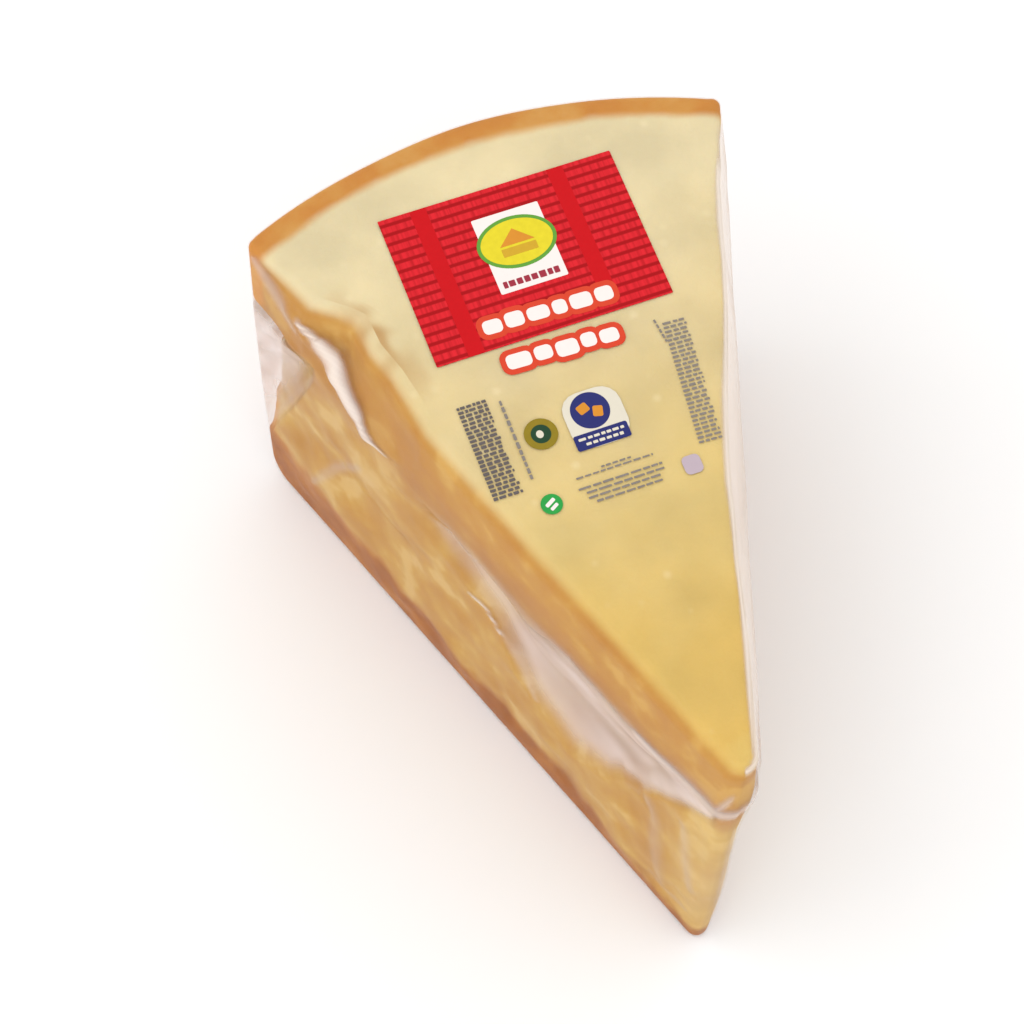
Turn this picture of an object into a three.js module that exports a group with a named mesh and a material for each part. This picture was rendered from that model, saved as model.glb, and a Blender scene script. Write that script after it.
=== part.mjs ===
// A wedge of hard grating cheese, shrink-wrapped in clear film.
// It is cut from the lower half of a wheel: a flat wheel face below, the level cut above,
// the curved rind behind and two broken sides that meet in a blunt tip.
// Millimetres, +Z up, tip towards -Y, rind towards +Y. The one solid is the wrapped outer form.

import * as THREE from 'three';

// Driving dimensions of the wedge
const LENGTH = 203.5; // meeting line of the cut sides to the middle of the rind
const HEIGHT = 130; // half of a wheel
const POINT_ANGLE = 39; // degrees between the cut sides
const RIND_RADIUS = 155.5; // curve of the rind, seen from above
const RIND_BARREL = 4; // how far the rind falls back towards the wheel's face
const HEEL_RADIUS = 10; // round edge between rind and wheel face
const CORNER_RADIUS = 2.6; // upright edges between rind and sides
const TIP_RADIUS_TOP = 5.4;
const TIP_RADIUS_BOTTOM = 3.6;
const TOP_EDGE_RADIUS = 2.2; // along the rind and the right side
const LIP_EDGE_RADIUS = 5; // the left top edge is worn rounder
const LIP_EDGE_FADE = 22; // where one radius passes into the other, at the tip and the corner
const SIDE_BOTTOM_RADIUS = 2.4;

// Relief of the sides, as depths along the outward normal
const LIP = { bulge: 1.3, height: 110, reach: 26 }; // the upper part stands proud
const TIER = { bulge: 0.8, height: 26, reach: 30 }; // and so does the broken lower part
const CALM_CORNER = 24; // neither stands proud at the rind
const WAIST_SAG = 3; // film drawn in between the two
const WAIST_EDGE = 4; // how far the sag runs past the hollow's borders
const WAIST_TIP = { from: 6, to: 40 }; // the sag fades out towards the tip
const FOOT = 6; // the relief fades in above the foot
const CRAG_SIZE = 17; // width of the largest crags
const CRAG_HEIGHT = 1.9;
const CRAG_CALM = { top: 3, foot: 14, tip: 22, corner: 10 }; // the edges are smoother
const LIP_SHARE = 0.35; // the lip has this share of the crags' height
const RIND_RELIEF = 0.35;
const RIND_RELIEF_WIDTH = 30;
const RIND_RELIEF_HEIGHT = 12;

// Film across the broken corner at the left end of the rind: its lower border climbs away
// from the rind until it meets the upper one
const TENT = { sag: 1.6, foot: 26, climb: 2.7, top: 102, edge: 3 };

// Splinter missing from the left top edge: [distance from the tip, depth of the film's dip]
const CHIP = [[128, 0], [137, 1.1], [146, 1.9], [155, 2.1], [160, 2.9], [164, 3.5], [168, 2.5], [175, 0]];
const CHIP_HEIGHTS = { from: 100, to: 122 };

// Facets round the outline and up the height
const LEFT_STEPS = 54;
const TIP_STEPS = 8;
const RIGHT_STEPS = 32;
const CORNER_STEPS = 4;
const RIND_STEPS = 26;
const WALL_STEP = 4.5;
const BOTTOM_EDGE_LEVELS = [0, 0.25, 0.9, 1.9, 3.2, 5.4, 8.2];
const TOP_EDGE_LEVELS = [5.6, 3.9, 2.5, 1.4, 0.6, 0.15, 0];
const FACE_MIDDLE = 0.62; // share of the length where the flat faces' triangles meet

const HALF_ANGLE = THREE.MathUtils.degToRad(POINT_ANGLE / 2);
const RIND_CENTRE = LENGTH - RIND_RADIUS;
const LEFT = -1;
const RIGHT = 1;

const lerp = THREE.MathUtils.lerp;

function smooth(from, to, value) {
  const t = THREE.MathUtils.clamp((value - from) / (to - from), 0, 1);
  return t * t * (3 - 2 * t);
}

// 1 at the centre, falling smoothly to 0 at the reach on both sides
function bump(value, centre, reach) {
  return 1 - smooth(0, reach, Math.abs(value - centre));
}

// A height read off a line through [place, height] pairs
function along(line, place) {
  const last = line.length - 1;
  const next = line.findIndex(([at]) => at > place);
  if (next === 0) return line[0][1];
  if (next < 0) return line[last][1];
  const [[a, low], [b, high]] = [line[next - 1], line[next]];
  return lerp(low, high, (place - a) / (b - a));
}

// Repeatable value from -1 to 1 for each corner of a lattice
function latticeValue(i, j, k) {
  let h = Math.imul(i, 374761393) ^ Math.imul(j, 668265263) ^ Math.imul(k, 2147483647);
  h = Math.imul(h ^ (h >>> 13), 1274126177);
  h ^= h >>> 16;
  return ((h >>> 0) / 4294967295) * 2 - 1;
}

function noise(x, y, z) {
  const cell = [x, y, z].map(Math.floor);
  const [u, v, w] = [x, y, z].map((c, n) => smooth(0, 1, c - cell[n]));
  const edge = (j, k) => lerp(
    latticeValue(cell[0], cell[1] + j, cell[2] + k),
    latticeValue(cell[0] + 1, cell[1] + j, cell[2] + k),
    u,
  );
  return lerp(lerp(edge(0, 0), edge(1, 0), v), lerp(edge(0, 1), edge(1, 1), v), w);
}

// Broken cheese under film: large soft lumps with smaller ones on them
function crags(x, y, z) {
  const s = 1 / CRAG_SIZE;
  const lumps = noise(x * s, y * s, z * s);
  const grains = noise(x * s * 2.3 + 7, y * s * 2.3, z * s * 2.3);
  return CRAG_HEIGHT * (0.7 * lumps + 0.3 * grains);
}

// Upper and lower border of the hollow that the film spans, along each side from the tip
const WAIST = {
  [LEFT]: {
    top: [[0, 106], [22, 101], [33, 95], [46, 93], [68, 94], [84, 87], [97, 91], [116, 92], [129, 84], [150, 84]],
    bottom: [[0, 104], [12, 92], [24, 80], [35, 70], [50, 47], [63, 40], [79, 46], [95, 64], [117, 75], [150, 84]],
  },
  [RIGHT]: {
    top: [[0, 106], [30, 92], [70, 84], [120, 88], [165, 80], [190, 74]],
    bottom: [[0, 104], [30, 70], [70, 48], [120, 44], [165, 60], [190, 74]],
  },
};

function waist(side, s, z) {
  const top = along(WAIST[side].top, s);
  const bottom = along(WAIST[side].bottom, s);
  const half = (top - bottom) / 2;
  if (half <= 0) return 0;
  const across = bump(z, (top + bottom) / 2, half + WAIST_EDGE);
  return across * smooth(0, 14, half) * smooth(WAIST_TIP.from, WAIST_TIP.to, s);
}

function tent(s, z, cornerAt) {
  const bottom = TENT.foot + TENT.climb * (cornerAt - s);
  const half = (TENT.top - bottom) / 2;
  if (half <= 0) return 0;
  const across = bump(z, (TENT.top + bottom) / 2, half + TENT.edge);
  return across * smooth(0, 14, half) * smooth(0, 6, cornerAt - s);
}

// A raised fold of film from one place on a side to another, each as [s, z]
function fold(s, z, [s0, z0], [s1, z1], width) {
  const [ds, dz] = [s1 - s0, z1 - z0];
  const t = THREE.MathUtils.clamp(((s - s0) * ds + (z - z0) * dz) / (ds * ds + dz * dz), 0, 1);
  return bump(Math.hypot(s - s0 - t * ds, z - z0 - t * dz), 0, width);
}

// Folds that the left side shows: the taut ridge under the chip, creases across the tent,
// one over the lower part and pleats that gather towards the tip
const LEFT_FOLDS = [
  { from: [180, 121], to: [163, 112], width: 5, height: 1.1 },
  { from: [163, 112], to: [149, 99], width: 5, height: 1.1 },
  { from: [149, 99], to: [139, 104], width: 5, height: 0.8 },
  { from: [192, 92], to: [180, 103], width: 5, height: 0.7 },
  { from: [192, 81], to: [184, 92], width: 5, height: 0.6 },
  { from: [174, 28], to: [151, 76], width: 5, height: 0.5 },
  { from: [34, 70], to: [22, 18], width: 5, height: 0.8 },
  { from: [22, 78], to: [12, 40], width: 4.5, height: 0.7 },
];
const RIGHT_FOLDS = [
  { from: [34, 82], to: [16, 20], width: 6, height: 0.9 },
  { from: [184, 96], to: [150, 110], width: 6, height: 0.9 },
  { from: [186, 40], to: [160, 62], width: 6, height: 0.8 },
];

function sideRelief(side, s, z, cornerAt) {
  const nearRind = smooth(0, CALM_CORNER, cornerAt - s);
  let depth = LIP.bulge * bump(z, LIP.height, LIP.reach) * nearRind;
  depth += TIER.bulge * bump(z, TIER.height, TIER.reach) * nearRind;
  depth -= WAIST_SAG * waist(side, s, z);
  const folds = side === LEFT ? LEFT_FOLDS : RIGHT_FOLDS;
  for (const { from, to, width, height } of folds) depth += height * fold(s, z, from, to, width);
  if (side === LEFT) {
    depth -= TENT.sag * tent(s, z, cornerAt);
    depth -= along(CHIP, s) * smooth(CHIP_HEIGHTS.from, CHIP_HEIGHTS.to, z);
  }
  return depth;
}

// How rough the wrapped side is: film that spans a hollow is smooth, and so are the edges,
// while the broken cheese of the lower part shows most
function roughness(side, s, z, cornerAt) {
  const spanned = Math.max(waist(side, s, z), side === LEFT ? tent(s, z, cornerAt) : 0);
  const lowerPart = 1 - smooth(84, 100, z);
  const offEdges = smooth(0, CRAG_CALM.top, HEIGHT - z) * smooth(0, CRAG_CALM.foot, z);
  const offCorners = smooth(0, CRAG_CALM.tip, s) * smooth(0, CRAG_CALM.corner, cornerAt - s);
  return (1 - spanned) * lerp(LIP_SHARE, 1, lowerPart) * offEdges * offCorners;
}

// How far a round edge of the given radius draws the wall in, at a height above or below it
function edgeInset(radius, distance) {
  if (distance >= radius) return 0;
  return radius - Math.sqrt(radius ** 2 - (radius - distance) ** 2);
}

// The left top edge is rounder than the others
function topEdgeRadius(zone, side, s, cornerAt) {
  if (zone !== 'side') return TOP_EDGE_RADIUS;
  const fromTip = side === LEFT ? smooth(-LIP_EDGE_FADE, LIP_EDGE_FADE, s) : smooth(LIP_EDGE_FADE, -LIP_EDGE_FADE, s);
  return lerp(TOP_EDGE_RADIUS, LIP_EDGE_RADIUS, fromTip * smooth(0, LIP_EDGE_FADE, cornerAt - s));
}

function rindInset(z) {
  return RIND_BARREL * (1 - z / HEIGHT) ** 2 + edgeInset(HEEL_RADIUS, z);
}

// The outline at one height, anticlockwise from above, starting at the middle of the tip.
// Each station has its place, its outward normal and the part of the outline that it is on.
function outlineAt(z) {
  const stations = [];
  const tipRadius = lerp(TIP_RADIUS_BOTTOM, TIP_RADIUS_TOP, z / HEIGHT);
  const tipCentre = new THREE.Vector2(0, tipRadius / Math.sin(HALF_ANGLE));
  const tipEnd = tipRadius / Math.tan(HALF_ANGLE);
  const radius = RIND_RADIUS - rindInset(z);
  const rindCentre = new THREE.Vector2(0, RIND_CENTRE);

  // The corner's own circle touches the side and the rind from inside
  const sideWay = new THREE.Vector2(Math.sin(HALF_ANGLE), Math.cos(HALF_ANGLE));
  const inward = new THREE.Vector2(-Math.cos(HALF_ANGLE), Math.sin(HALF_ANGLE));
  const fromRindCentre = inward.clone().multiplyScalar(CORNER_RADIUS).sub(rindCentre);
  const b = fromRindCentre.dot(sideWay);
  const c = fromRindCentre.lengthSq() - (radius - CORNER_RADIUS) ** 2;
  const cornerAt = -b + Math.sqrt(b * b - c);
  const cornerCentre = sideWay.clone().multiplyScalar(cornerAt)
    .addScaledVector(inward, CORNER_RADIUS);
  const rindEnd = Math.atan2(cornerCentre.x, cornerCentre.y - RIND_CENTRE);

  const add = (zone, side, place, nx, ny, s) => {
    stations.push({ zone, side, x: place.x, y: place.y, nx, ny, s, cornerAt });
  };
  const onArc = (centre, r, heading) => new THREE.Vector2(
    centre.x + r * Math.sin(heading),
    centre.y + r * Math.cos(heading),
  );

  // Right half: headings turn from straight out of the tip round to the rind's middle
  const half = (steps) => {
    const list = [];
    const tipTurn = Math.PI / 2 - HALF_ANGLE;
    for (let i = 0; i < TIP_STEPS / 2; i++) {
      const turn = i / (TIP_STEPS / 2);
      const heading = Math.PI - tipTurn * turn;
      list.push(['side', onArc(tipCentre, tipRadius, heading), heading, tipEnd * turn]);
    }
    const sideHeading = Math.PI / 2 + HALF_ANGLE;
    for (let i = 0; i <= steps; i++) {
      const s = lerp(tipEnd, cornerAt, i / steps);
      list.push(['side', sideWay.clone().multiplyScalar(s), sideHeading, s]);
    }
    for (let i = 1; i <= CORNER_STEPS; i++) {
      const heading = lerp(sideHeading, rindEnd, i / CORNER_STEPS);
      list.push(['corner', onArc(cornerCentre, CORNER_RADIUS, heading), heading, cornerAt]);
    }
    for (let i = 1; i < RIND_STEPS / 2; i++) {
      const heading = rindEnd * (1 - i / (RIND_STEPS / 2));
      list.push(['rind', onArc(rindCentre, radius, heading), heading, cornerAt]);
    }
    return list;
  };
  for (const [zone, place, heading, s] of half(RIGHT_STEPS)) {
    add(zone, RIGHT, place, Math.sin(heading), Math.cos(heading), s);
  }
  add('rind', RIGHT, onArc(rindCentre, radius, 0), 0, 1, cornerAt);
  const left = half(LEFT_STEPS).slice(1).reverse();
  for (const [zone, place, heading, s] of left) {
    place.x = -place.x;
    add(zone, LEFT, place, -Math.sin(heading), Math.cos(heading), s);
  }
  return stations;
}

// One ring of points of the wrapped surface
function ringAt(z) {
  return outlineAt(z).map(({ zone, side, x, y, nx, ny, s, cornerAt }) => {
    let depth = -edgeInset(topEdgeRadius(zone, side, s, cornerAt), HEIGHT - z);
    if (zone !== 'rind') depth -= edgeInset(SIDE_BOTTOM_RADIUS, z);
    if (zone === 'side') {
      depth += smooth(0, FOOT, z) * sideRelief(side, s, z, cornerAt);
      depth += roughness(side, s, z, cornerAt) * crags(x, y, z);
    } else if (zone === 'rind') {
      const relief = noise(x / RIND_RELIEF_WIDTH, y / RIND_RELIEF_WIDTH, z / RIND_RELIEF_HEIGHT);
      depth += smooth(0, FOOT, z) * RIND_RELIEF * relief;
    }
    return [x + nx * depth, y + ny * depth, z];
  });
}

function levels() {
  const first = BOTTOM_EDGE_LEVELS.at(-1);
  const last = HEIGHT - TOP_EDGE_LEVELS[0];
  const count = Math.round((last - first) / WALL_STEP);
  const wall = Array.from({ length: count - 1 }, (_, i) => lerp(first, last, (i + 1) / count));
  return [...BOTTOM_EDGE_LEVELS, ...wall, ...TOP_EDGE_LEVELS.map((down) => HEIGHT - down)];
}

// Rings joined into a wall, with a flat face below and above
function wrappedWedge() {
  const rings = levels().map(ringAt);
  const around = rings[0].length;
  const index = [];
  for (let row = 0; row + 1 < rings.length; row++) {
    for (let i = 0; i < around; i++) {
      const [a, b] = [row * around + i, row * around + ((i + 1) % around)];
      index.push(a, b, b + around, a, b + around, a + around);
    }
  }
  const points = rings.flat();
  const top = (rings.length - 1) * around;
  const middle = LENGTH * FACE_MIDDLE;
  const under = points.push([0, middle, 0]) - 1;
  const over = points.push([0, middle, HEIGHT]) - 1;
  for (let i = 0; i < around; i++) {
    const next = (i + 1) % around;
    index.push(under, next, i, over, top + i, top + next);
  }

  const geometry = new THREE.BufferGeometry();
  geometry.setAttribute('position', new THREE.Float32BufferAttribute(points.flat(), 3));
  geometry.setIndex(index);
  geometry.computeVertexNormals();
  return geometry;
}

// The origin is under the middle of the wedge, on the surface that it stands on
function standOnOrigin(geometry) {
  geometry.computeBoundingBox();
  const middle = geometry.boundingBox.getCenter(new THREE.Vector3());
  geometry.translate(-middle.x, -middle.y, -geometry.boundingBox.min.z);
  return geometry;
}

const cheeseUnderFilm = new THREE.MeshStandardMaterial({
  color: 0xe3c184,
  roughness: 0.3,
  metalness: 0,
});

const wedge = new THREE.Mesh(standOnOrigin(wrappedWedge()), cheeseUnderFilm);
wedge.name = 'wrapped_wedge';

const part = new THREE.Group();
part.add(wedge);
export default part;
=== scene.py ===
# A wedge of hard grating cheese, shrink-wrapped in clear printed film.
# The film and the cheese inside it share one outline, drawn up and moved out or in by the
# same measures, so that the film clings to the cheese or spans its hollows.

import math

import bpy
import numpy as np
from mathutils import Matrix, Vector


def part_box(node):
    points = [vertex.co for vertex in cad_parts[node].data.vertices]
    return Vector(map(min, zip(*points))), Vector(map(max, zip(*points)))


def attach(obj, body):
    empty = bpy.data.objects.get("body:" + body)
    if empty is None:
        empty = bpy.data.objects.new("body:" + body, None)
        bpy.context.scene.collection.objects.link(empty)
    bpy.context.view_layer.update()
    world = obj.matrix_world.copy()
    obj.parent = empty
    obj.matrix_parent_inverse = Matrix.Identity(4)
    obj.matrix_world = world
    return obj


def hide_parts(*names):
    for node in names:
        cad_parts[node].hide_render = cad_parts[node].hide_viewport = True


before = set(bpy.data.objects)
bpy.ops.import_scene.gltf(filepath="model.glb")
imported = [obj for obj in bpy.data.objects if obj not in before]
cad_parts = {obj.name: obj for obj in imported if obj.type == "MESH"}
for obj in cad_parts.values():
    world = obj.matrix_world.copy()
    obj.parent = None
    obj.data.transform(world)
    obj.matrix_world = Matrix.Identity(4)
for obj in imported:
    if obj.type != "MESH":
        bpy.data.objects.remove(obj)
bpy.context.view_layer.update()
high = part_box("wrapped_wedge")[1]

MM = 0.001

# The wedge. All sizes here are in millimetres; heights count up from the floor, distances
# along a cut side from the tip, and the heading of a side is its angle to the long axis.
HEIGHT = high.z / MM
RIND_Y = high.y / MM
LENGTH = 203.5
TIP_Y = RIND_Y - LENGTH
HALF_ANGLE = math.radians(39 / 2)
RIND_RADIUS = 155.5
RIND_CENTRE_Y = RIND_Y - RIND_RADIUS
RIND_BARREL = 4
HEEL_RADIUS = 10
CORNER_RADIUS = 2.6
TIP_RADIUS_TOP = 5.4
TIP_RADIUS_BOTTOM = 3.6
TOP_EDGE_RADIUS = 2.2
LIP_EDGE_RADIUS = 5
LIP_EDGE_FADE = 22
SIDE_BOTTOM_RADIUS = 2.4
FACE_MIDDLE_Y = TIP_Y + 0.62 * LENGTH

# Film relief along the outward normal. The waist is the long hollow that the film spans on
# each side, the tent is the film across the broken corner and the chip is the splinter missing
# from the left top edge. "opens" gives the half heights at which a hollow starts and is full.
LIP = {"bulge": 1.3, "height": 110, "reach": 26}
TIER = {"bulge": 0.8, "height": 26, "reach": 30}
CALM_CORNER = 24
LEAST_OPENING = 0.02
FREE_HALF = 14
WAIST_SAG = 3
WAIST_EDGE = 4
WAIST_TIP = (6, 40)
FOOT = 6
CRAG_SIZE = 17
CRAG_HEIGHT = 1.9
CRAG_LUMPS = 0.7
CRAG_GRAINS = 0.3
GRAIN_FINER = 2.3
CRAG_CALM = {"top": 3, "foot": 14, "tip": 22, "corner": 10}
LIP_SHARE = 0.35
LIP_RISE = (84, 100)
RIND_RELIEF = 0.35
RIND_RELIEF_WIDTH = 30
RIND_RELIEF_HEIGHT = 12
TENT = {"sag": 1.6, "foot": 26, "climb": 2.7, "top": 102, "edge": 3, "corner": 6}
CHIP_AT = [128, 137, 146, 155, 160, 164, 168, 175]
CHIP_DIP = [0, 1.1, 1.9, 2.1, 2.9, 3.5, 2.5, 0]
CHIP_HEIGHTS = (100, 122)
CREASE_RIDGE = 0.45
CREASE_THINNEST = 0.3
CREASE_FADE = 0.5

# Cheese behind the film
CLING = 0.3
WAIST_HOLLOW = 7.5
WAIST_FALL = {"depth": 1.25, "fall": 0.36, "ledge": 0.8, "under": 2, "opens": (1, 12),
              "tip": (2, 20)}
WAIST_OVER = {"least": 2, "more": 3.5, "at": 56, "reach": 28}
TENT_HOLLOW = 9
TENT_FALL = {"fall": 0.16, "ledge": 0.7, "over": 1, "under": 1, "opens": (0.5, 20)}
TENT_LUMPS = 1.6
TENT_LUMP_WIDTH = 8
TENT_LUMP_HEIGHT = 6
TENT_AXIS_IN = 34
TENT_FROM = 60
CHIP_SHARE = 0.75
CHIP_BEHIND = (98, 118)
TORN_HEIGHT = 1.5
FLAKE_HEIGHT = 0.7
TORN_FROM = (0.5, 3)
EDGE_LEAST = 0.25
EDGE_RISE = (70, 122)
CHEESE_EDGE_RADIUS = 0.8

# Facets: stations round the outline, levels up the wall and rings across the flat faces
TIP_STEPS = 20
LEFT_STEPS = 220
RIGHT_STEPS = 116
CORNER_STEPS = 8
RIND_STEPS = 88
WALL_STEP = 1.4
BOTTOM_EDGE_LEVELS = [0, 0.12, 0.45, 1, 1.7, 2.6, 3.6, 4.8, 6.2, 8]
TOP_EDGE_LEVELS = [7.2, 6, 4.9, 3.9, 3, 2.2, 1.5, 0.9, 0.45, 0.15, 0]
FACE_RINGS = 30
RING_CROWDING = 2.2
LEAST_TURN = 1e-6

LEFT = -1
RIGHT = 1
SIDE_ZONE = 0
CORNER_ZONE = 1
RIND_ZONE = 2


def smooth(start, end, value):
    """From 0 at the start to 1 at the end, level at both"""
    t = np.clip((value - start) / (end - start), 0, 1)
    return t * t * (3 - 2 * t)


def bump(value, centre, reach):
    """1 at the centre, falling smoothly to 0 at the reach on both sides"""
    return 1 - smooth(0, reach, np.abs(value - centre))


def lattice_value(i, j, k):
    """Repeatable value from -1 to 1 for each corner of a lattice, by mixing the bits of its
    whole numbers with large primes"""
    i, j, k = (np.asarray(c).astype(np.int64).astype(np.uint32) for c in (i, j, k))
    h = i * np.uint32(374761393) ^ j * np.uint32(668265263) ^ k * np.uint32(2147483647)
    h = (h ^ (h >> np.uint32(13))) * np.uint32(1274126177)
    h ^= h >> np.uint32(16)
    return h / (2**32 - 1) * 2 - 1


def noise(x, y, z):
    """Smooth values from -1 to 1 between the corners of a lattice of unit cells"""
    x, y, z = np.broadcast_arrays(x, y, z)
    i, j, k = np.floor(x), np.floor(y), np.floor(z)
    u, v, w = (smooth(0, 1, c) for c in (x - i, y - j, z - k))

    def edge(dj, dk):
        start = lattice_value(i, j + dj, k + dk)
        return start + (lattice_value(i + 1, j + dj, k + dk) - start) * u

    near = edge(0, 0) + (edge(1, 0) - edge(0, 0)) * v
    far = edge(0, 1) + (edge(1, 1) - edge(0, 1)) * v
    return near + (far - near) * w


def crags(x, y, z):
    """Broken cheese under film: large soft lumps with smaller ones on them"""
    s = 1 / CRAG_SIZE
    lumps = noise(x * s, y * s, z * s)
    grains = noise(x * s * GRAIN_FINER + 7, y * s * GRAIN_FINER, z * s * GRAIN_FINER)
    return CRAG_HEIGHT * (CRAG_LUMPS * lumps + CRAG_GRAINS * grains)


# Upper and lower border of the hollow that the film spans: [distance from the tip, height]
WAIST = {
    LEFT: {
        "top": [[0, 106], [22, 101], [33, 95], [46, 93], [68, 94], [84, 87], [97, 91],
                [116, 92], [129, 84], [150, 84]],
        "bottom": [[0, 104], [12, 92], [24, 80], [35, 70], [50, 47], [63, 40], [79, 46],
                   [95, 64], [117, 75], [150, 84]],
    },
    RIGHT: {
        "top": [[0, 106], [30, 92], [70, 84], [120, 88], [165, 80], [190, 74]],
        "bottom": [[0, 104], [30, 70], [70, 48], [120, 44], [165, 60], [190, 74]],
    },
}


def waist_borders(side, s):
    """Height of the waist's upper and lower border, and half the height between them"""
    top, bottom = (np.interp(s, *np.transpose(WAIST[side][name])) for name in ("top", "bottom"))
    return top, bottom, np.maximum(top - bottom, LEAST_OPENING) / 2


def waist(side, s, z):
    """1 where the film spans the waist, falling to 0 at its borders"""
    top, bottom, half = waist_borders(side, s)
    across = bump(z, (top + bottom) / 2, half + WAIST_EDGE)
    return across * smooth(0, FREE_HALF, half) * smooth(*WAIST_TIP, s)


def fallen(down, profile, half):
    """Depth of a hollow's face, which falls steeply from its top and then slopes out again"""
    fall = smooth(0, profile["fall"], down) * (1 - down) ** profile["ledge"]
    return fall * smooth(*profile["opens"], half)


def waist_hollow(side, s, z):
    """Cheese behind the film: a steep fall under the lip, then a ledge"""
    top, _, half = waist_borders(side, s)
    over = WAIST_OVER["least"] + WAIST_OVER["more"] * bump(s, WAIST_OVER["at"], WAIST_OVER["reach"])
    down = np.clip((top + over - z) / (2 * half + over + WAIST_FALL["under"]), 0, 1)
    depth = WAIST_FALL["depth"] * fallen(down, WAIST_FALL, half)
    return depth * smooth(*WAIST_FALL["tip"], s)


def tent_borders(from_corner):
    """Height of the tent's lower border, and half the height of the tent"""
    bottom = TENT["foot"] + TENT["climb"] * from_corner
    return bottom, np.maximum(TENT["top"] - bottom, LEAST_OPENING) / 2


def tent(from_corner, z):
    """Film across the broken corner: its lower border climbs away from the rind"""
    bottom, half = tent_borders(from_corner)
    across = bump(z, (TENT["top"] + bottom) / 2, half + TENT["edge"])
    return across * smooth(0, FREE_HALF, half) * smooth(0, TENT["corner"], from_corner)


def tent_hollow(from_corner, z):
    """Cheese behind the tent, as a share of the hollow's depth"""
    _, half = tent_borders(from_corner)
    over, under = TENT_FALL["over"], TENT_FALL["under"]
    down = np.clip((TENT["top"] + over - z) / (2 * half + over + under), 0, 1)
    return fallen(down, TENT_FALL, half)


def nearest_on_line(s, z, start, end):
    """Share of the way along a line on a side, each end as (s, z), and the distance from it"""
    (s0, z0), (s1, z1) = start, end
    ds, dz = s1 - s0, z1 - z0
    t = np.clip(((s - s0) * ds + (z - z0) * dz) / (ds * ds + dz * dz), 0, 1)
    return t, np.hypot(s - s0 - t * ds, z - z0 - t * dz)


def fold(s, z, start, end, width):
    """A raised fold of film from one place on a side to another"""
    return bump(nearest_on_line(s, z, start, end)[1], 0, width)


# Broad folds of the film on each side: start, end, width, height
FOLDS = {
    LEFT: [
        ((180, 121), (163, 112), 5, 1.1),
        ((163, 112), (149, 99), 5, 1.1),
        ((149, 99), (139, 104), 5, 0.8),
        ((192, 92), (180, 103), 5, 0.7),
        ((192, 81), (184, 92), 5, 0.6),
        ((174, 28), (151, 76), 5, 0.5),
        ((34, 70), (22, 18), 5, 0.8),
        ((22, 78), (12, 40), 4.5, 0.7),
    ],
    RIGHT: [
        ((34, 82), (16, 20), 6, 0.9),
        ((184, 96), (150, 110), 6, 0.9),
        ((186, 40), (160, 62), 6, 0.8),
    ],
}

# Creases on and between the folds, where the stretched film turns white; the bright streak on
# the upper left fold and the short glint at the waist's lower border are painted highlights.
# Points along the crease as (s, z), then its half width and how white it is
CREASES_AND_GLINTS = {
    LEFT: [
        # Painted highlight: the bright streak along the upper left fold, in two widths
        ([(178, 122.5), (172, 120), (168, 117.5), (163.5, 115.5), (160, 111.5), (154, 107),
          (149, 101.5), (145, 100), (139, 101)], 2.8, 0.84),
        ([(171, 119.5), (168, 117.5), (163.5, 115.5), (160, 111.5), (154, 107), (151, 104)],
         5.6, 0.86),
        ([(197, 127), (187, 121), (176, 115)], 7, 0.3),
        ([(195, 89), (188, 97), (182, 102)], 2.4, 0.3),
        ([(196, 77), (190, 85), (184, 90)], 2.2, 0.25),
        ([(197, 27), (184, 63), (172, 96)], 2.2, 0.16),
        ([(174, 28), (164, 52), (151, 76)], 3, 0.2),
        # Painted highlight: a short glint at the waist's lower border
        ([(109, 66), (101, 65), (93, 62)], 1.3, 0.6),
        ([(95, 64), (84, 56), (77, 46)], 2.4, 0.2),
        ([(46, 62), (36, 73), (24, 87), (13, 101), (5, 119)], 4.4, 0.42),
        ([(40, 90), (28, 94), (16, 102), (6, 114)], 3.4, 0.26),
        ([(34, 70), (29, 49), (22, 18)], 4.4, 0.16),
        ([(22, 76), (17, 53), (13, 34)], 4, 0.16),
        ([(28, 19), (19, 16), (12, 18)], 3, 0.15),
        ([(44, 97), (20, 102), (-8, 107)], 7, 0.52),
    ],
    RIGHT: [
        ([(36, 88), (24, 96), (12, 110), (5, 119)], 4, 0.38),
        ([(2, 92), (4, 60), (3, 14)], 4, 0.25),
        ([(-8, 107), (10, 109), (30, 106)], 6, 0.42),
        ([(34, 82), (26, 52), (16, 20)], 4, 0.18),
        ([(120, 84), (95, 66), (66, 52)], 2.6, 0.2),
        ([(186, 96), (170, 104), (150, 110)], 2.8, 0.5),
        ([(188, 38), (174, 52), (158, 62)], 2.6, 0.22),
    ],
}


def crease(s, z, points, width):
    """A crease along its points, which thins out and fades towards both ends"""
    strengths = []
    count = len(points) - 1
    for n, (start, end) in enumerate(zip(points, points[1:])):
        t, from_line = nearest_on_line(s, z, start, end)
        along = (n + t) / count
        taper = np.sqrt(np.clip(4 * along * (1 - along), 0, 1))
        reach = width * (CREASE_THINNEST + (1 - CREASE_THINNEST) * taper)
        strengths.append(smooth(0, CREASE_FADE, taper) * (1 - smooth(0, 1, from_line / reach)))
    return np.max(strengths, axis=0)


def edge_inset(radius, distance):
    """How far a round edge draws the wall in, at a distance from its end"""
    inside = np.maximum(radius - distance, 0)
    return radius - np.sqrt(np.maximum(radius**2 - inside**2, 0))


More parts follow.
